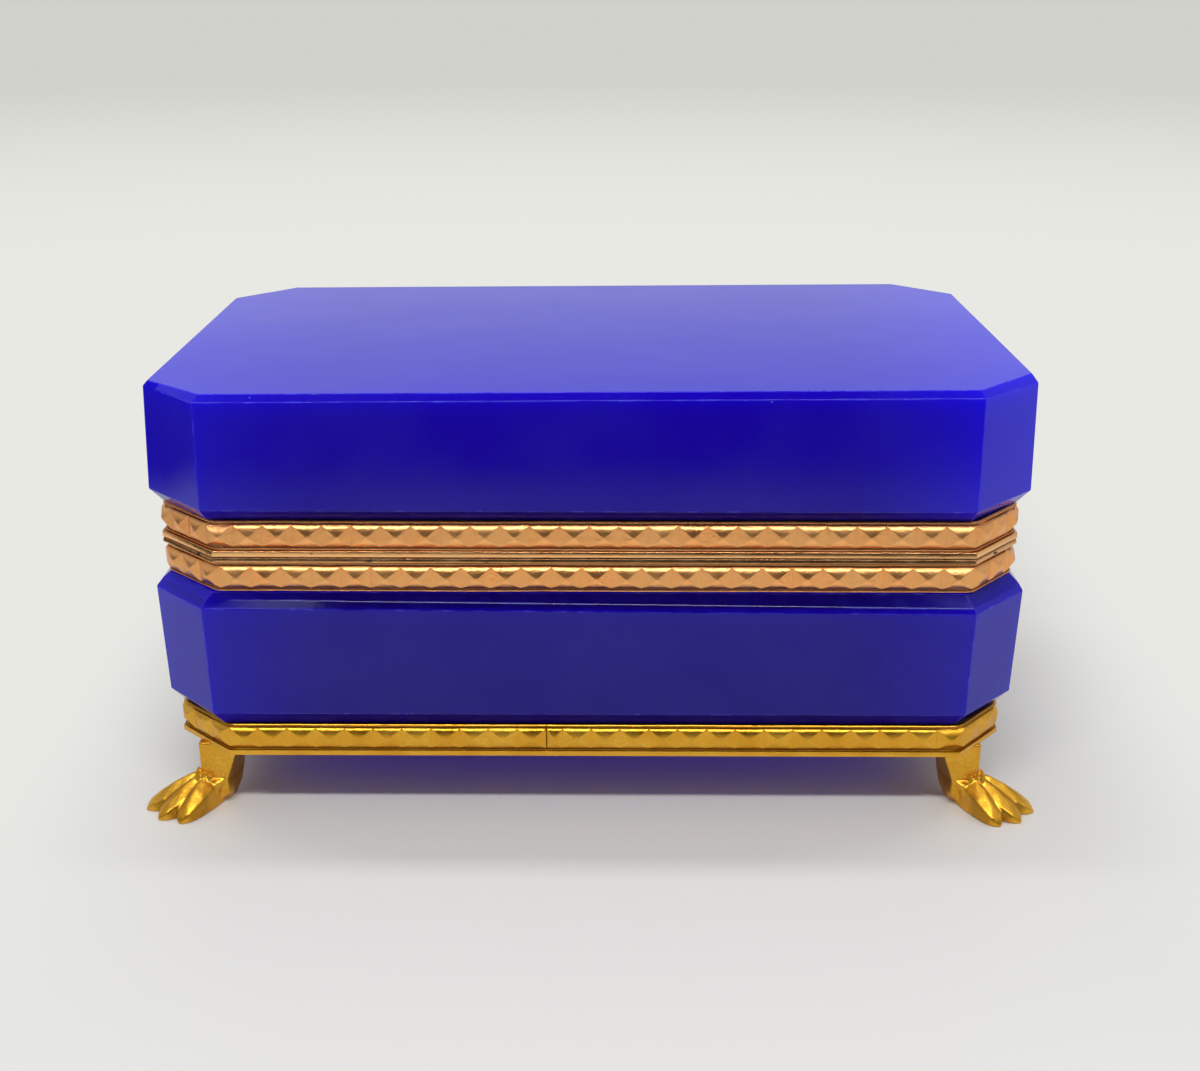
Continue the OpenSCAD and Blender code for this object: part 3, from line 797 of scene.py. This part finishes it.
def rim_path():
    """The strip's face line round a rim, from the hinge's left end to its right one."""
    corners = face_corners("lid_rim", STRIP_INSET)
    order = corners[2:] + corners[:2]
    rear = corners[1].y
    return bent_path(order, STRIP_BEND, Vector((hinge_low.x - STRIP_GAP, rear)),
                     Vector((hinge_high.x + STRIP_GAP, rear)))


def length_to_front(path, x):
    """How far along a path its front side passes this X."""
    gone = 0.0
    for before, after in zip(path, path[1:]):
        if max(before.y, after.y) < FRONT_LINE_Y and before.x <= x <= after.x:
            return gone + x - before.x
        gone += (after - before).length
    return gone


for node, body, pitch, crease_x, lift in (
        ("lid_band", "lid", 4.94 * MM, 0.1 * MM, SOLDER_GAP),
        ("base_band", "base", 5.05 * MM, -1.2 * MM, 0.0)):
    low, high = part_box(node)
    face = rim_path()
    sizes = {"First point": length_to_front(face, crease_x) % pitch, "Pitch": pitch,
             "Bead pitch": BEAD_PITCH, "Height above floor": low.z + lift, "Waver": 0.24 * MM}
    strip_height = high.z - low.z - SOLDER_GAP
    seam_z = -SOLDER_GAP / 2 if body == "lid" else strip_height + SOLDER_GAP / 2
    stamp = (strip_height, 4.1 * MM, 0.95 * MM, 0.35 * MM, seam_z)
    band = stamped_strip(node, face, sizes, stamp, ROSE)
    settle(band, node, body)


# ---------------------------------------------------------------------------------------------
# Hinge. Two gilt plates soldered to the rims at the back, each with its knuckles rolled on, turn
# on one brass pin. They are filed flush and left plain.
# ---------------------------------------------------------------------------------------------
brass, pin_metal = new_finish("plain_brass", {"Metallic": 1.0})
turned = pin_metal.cloud(object_place(pin_metal), 1800, 3)
pin_metal.feed({"Base Color": turned.colour((0.62, 0.42, 0.16), (0.80, 0.60, 0.27)),
                "Roughness": turned.ease(0.3, 0.7, 0.22, 0.42)})
for node, body, metal, slot in (
        ("lid_hinge_plate", "lid", ROSE, "rose_gilt"), ("base_hinge_plate", "base", ROSE, "rose_gilt"),
        ("lid_hinge_knuckles", "lid", ROSE, "rose_gilt"),
        ("base_hinge_knuckles", "base", ROSE, "rose_gilt"),
        ("hinge_pin", "base", brass, "plain_brass")):
    settle(dressed(node, 0.06 * MM, [metal]), node, body)


# ---------------------------------------------------------------------------------------------
# Foot frame and its stamped strip. A flat gilt brass frame carries the base on its ledge; the
# same kind of strip is wrapped round its wall, and its two ends meet at a joint in front.
# ---------------------------------------------------------------------------------------------
YELLOW = gilt("yellow_gilt", (0.97, 0.57, 0.07), (0.74, 0.36, 0.03), (0.22, 0.10, 0.01), 0.80, 0.7)
foot_frame = dressed("foot_frame", 0.12 * MM, [YELLOW])
darken_inside("foot_frame", foot_frame.data)
shift_front_corners(foot_frame.data)
settle(foot_frame, "foot_frame", "base")

FOOT_BEND = 3.5 * MM
JOINT_X = -7.4 * MM
JOINT_GAP = 0.22 * MM
HALF_POINT = 2.6 * MM
FOOT_PITCH = 5.03 * MM
foot_corners = face_corners("foot_frame", 0.4 * MM)
foot_path = bent_path(foot_corners[FRONT_RIGHT:] + foot_corners[:FRONT_RIGHT], FOOT_BEND,
                      Vector((JOINT_X + JOINT_GAP / 2, foot_corners[FRONT_LEFT].y)),
                      Vector((JOINT_X - JOINT_GAP / 2, foot_corners[FRONT_LEFT].y)))
foot_run = sum((b - a).length for a, b in zip(foot_path, foot_path[1:])) - HALF_POINT
low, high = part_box("foot_band")
foot_strip = stamped_strip("foot_band", foot_path, {
    "First point": HALF_POINT, "Pitch": foot_run / round(foot_run / FOOT_PITCH),
    "Bead pitch": BEAD_PITCH, "Height above floor": low.z, "Waver": 0.12 * MM},
    (high.z - low.z, 4.0 * MM, 0.75 * MM, 0.35 * MM, 0.02 * MM), YELLOW)
settle(foot_strip, "foot_band", "base")


# ---------------------------------------------------------------------------------------------
# Lion paws. Each is cast in brass, filed and gilded: a square tapering shank, a jagged fringe of
# fur, and a foot of three pointed toes with ridged tops. One model serves all four corners.
# ---------------------------------------------------------------------------------------------
def add_hull(form, balls):
    """Adds the hull of some balls to a mesh. Each ball is (x, y, z, radius) in millimetres."""
    points = [form.verts.new(Vector((x, y, z)) + way * radius)
              for x, y, z, radius in balls for way in BALL_POINTS]
    hull = bmesh.ops.convex_hull(form, input=points)
    spare = [item for item in hull["geom_interior"] + hull["geom_unused"]
             if isinstance(item, bmesh.types.BMVert)]
    bmesh.ops.delete(form, geom=list(set(spare)), context="VERTS")


def ball_points(count):
    """Evenly spread directions, along a spiral from one pole of a ball to the other."""
    turn = math.pi * (3 - math.sqrt(5))
    points = []
    for i in range(count):
        height = 1 - (2 * i + 1) / count
        radius = math.sqrt(1 - height * height)
        points.append(Vector((radius * math.cos(turn * i), radius * math.sin(turn * i), height)))
    return points


def level_way(angle):
    """The level direction at an angle in degrees, from X towards Y."""
    return Vector((math.cos(math.radians(angle)), math.sin(math.radians(angle))))


BALL_POINTS = ball_points(48)

# The paw's sizes, here and in its form, are in millimetres
PAW_MIDDLE, PAW_TOP = Vector((67.3, 36.1)), 12.5
TOE_ANGLES = (61.5, 42.0, 21.0)
TOE_REACHES = (10.9, 12.4, 13.2)
FRINGE_REACH, TOES_BEGIN = 3.4, 6.4


def groove_and_side_shade(place):
    """How far down a toe's side a point of the paw lies, from 0 on the ridge to 0.65. It darkens the
    gilt, as patina in the grooves and as painted shade down the toes' sides.
    """
    spot = place.xy - PAW_MIDDLE
    away = min(abs(spot.cross(level_way(angle))) for angle in TOE_ANGLES)
    past_fringe = (spot.length - FRINGE_REACH) / (TOES_BEGIN - FRINGE_REACH)
    return max(0.0, min(0.65, (away - 0.7) / 1.4)) * max(0.0, min(1.0, past_fringe))


def paw_form():
    """The paw for the corner where X and Y are positive, as overlapping hulls, in millimetres."""
    form = bmesh.new()
    corner_x, corner_y, edge_r = 69.9, 38.7, 0.35
    top_side, ankle_z, ankle_side, ankle_depth = 7.2, 5.2, 4.7, 6.4

    def shank_level(z, side, depth):
        """The shank's four edges at one height. The inner one can stand further in than a square's."""
        return [(corner_x - along_x, corner_y - along_y, z, edge_r) for along_x, along_y in (
            (edge_r, edge_r), (side - edge_r, edge_r), (edge_r, side - edge_r),
            (depth - edge_r, depth - edge_r))]

    def heel_level(z, radius):
        return [(corner_x - x, corner_y - y, z, radius) for x, y in (
            (4.7, 4.7), (4.1, 2.5), (2.5, 4.1), (1.9, 0.4), (0.4, 1.9))]

    add_hull(form, shank_level(PAW_TOP - edge_r, top_side, top_side)
             + shank_level(ankle_z, ankle_side, ankle_depth))
    add_hull(form, shank_level(ankle_z, ankle_side, ankle_depth) + shank_level(2.4, 4.8, 5.9)
             + heel_level(0.3, 0.3))

    # Along each toe: share of its reach, height of its ridge, and half its width
    sections = ((0.10, 6.2, 1.75), (0.36, 6.0, 2.0), (0.58, 4.9, 2.1), (0.76, 3.5, 1.95),
                (0.88, 2.3, 1.6), (0.945, 1.4, 1.05), (1.0, 0.45, 0.3))
    for angle, reach in zip(TOE_ANGLES, TOE_REACHES):
        ahead = level_way(angle)
        aside = Vector((-ahead.y, ahead.x))
        rings = []
        for share, crest, half_width in sections:
            at = PAW_MIDDLE + ahead * reach * share
            ridge_r = min(0.40, crest / 3)
            shoulder_r = min(0.8, half_width * 0.55, crest / 3)
            foot_r = min(0.3, half_width / 2)
            ring = [(at.x, at.y, crest - ridge_r, ridge_r)]
            for side in (-1, 1):
                out = at + aside * side * (half_width - shoulder_r)
                shoulder_z = max(crest * 0.70 - shoulder_r * 0.4, shoulder_r)
                ring.append((out.x, out.y, shoulder_z, shoulder_r))
                low = at + aside * side * (half_width * 0.92 - foot_r)
                ring.append((low.x, low.y, foot_r, foot_r))
            rings.append(ring)
        for near, far in zip(rings, rings[1:]):
            add_hull(form, near + far)

    near_toe = PAW_MIDDLE + level_way(TOE_ANGLES[0]) * 4.2
    far_toe = PAW_MIDDLE + level_way(TOE_ANGLES[-1]) * 5.0
    add_hull(form, heel_level(0.3, 0.3) + shank_level(ankle_z, ankle_side, ankle_depth)
             + [(near_toe.x, near_toe.y, 3.2, 1.5), (near_toe.x, near_toe.y, 0.4, 0.4),
                (far_toe.x, far_toe.y, 3.2, 1.5), (far_toe.x, far_toe.y, 0.4, 0.4)])

    # The tufts of the fringe: the angle and the height of the tip of each
    for angle, tip_z in ((86, 5.6), (72, 6.5), (58, 7.0), (45, 7.5), (31, 7.3), (18, 6.8), (4, 6.0)):
        ahead = level_way(angle)
        wall = 2.6 / max(ahead.x, ahead.y)
        root, tip = PAW_MIDDLE + ahead * (wall + 0.5), PAW_MIDDLE + ahead * (wall + 0.75)
        add_hull(form, [(root.x, root.y, tip_z - 2.4, 0.95), (tip.x, tip.y, tip_z, 0.14)])
    return form


PAW_VOXEL = 0.17
paw_maker = mesh_object("paw_maker", mesh_of("paw_parts", paw_form()), [])
fused = paw_maker.modifiers.new("fused", "REMESH")
fused.mode = "VOXEL"
fused.voxel_size = PAW_VOXEL
softened = paw_maker.modifiers.new("softened", "SMOOTH")
softened.factor = 0.5
softened.iterations = 2
paw_depsgraph = bpy.context.evaluated_depsgraph_get()
paw_cast = bpy.data.meshes.new_from_object(paw_maker.evaluated_get(paw_depsgraph))
bpy.data.objects.remove(paw_maker)

for node, side_x, side_y in (("paw_front_left", -1, -1), ("paw_front_right", 1, -1),
                             ("paw_rear_left", -1, 1), ("paw_rear_right", 1, 1)):
    form = bmesh.new()
    form.from_mesh(paw_cast)
    recess = form.verts.layers.float.new("recess")
    for vertex in form.verts:
        # The recess darkens the gilt: patina in the grooves between the toes, and painted shade down
        # their sides.
        vertex[recess] = groove_and_side_shade(vertex.co)
        x, y, z = vertex.co * MM
        vertex.co = (x * side_x, y * side_y, min(max(z, 0.0), PAW_TOP * MM))
    bmesh.ops.recalc_face_normals(form, faces=form.faces)
    for face in form.faces:
        face.smooth = True
    settle(mesh_object(node + "_cast", mesh_of(node, form), [YELLOW]), node, "base")


# ---------------------------------------------------------------------------------------------
# Foot screws. Four small countersunk brass screws run down through the frame's ledge into the
# paws; the plaster and the glass cover their heads.
# ---------------------------------------------------------------------------------------------
settle(dressed("foot_screws", 0.05 * MM, [brass]), "foot_screws", "base")
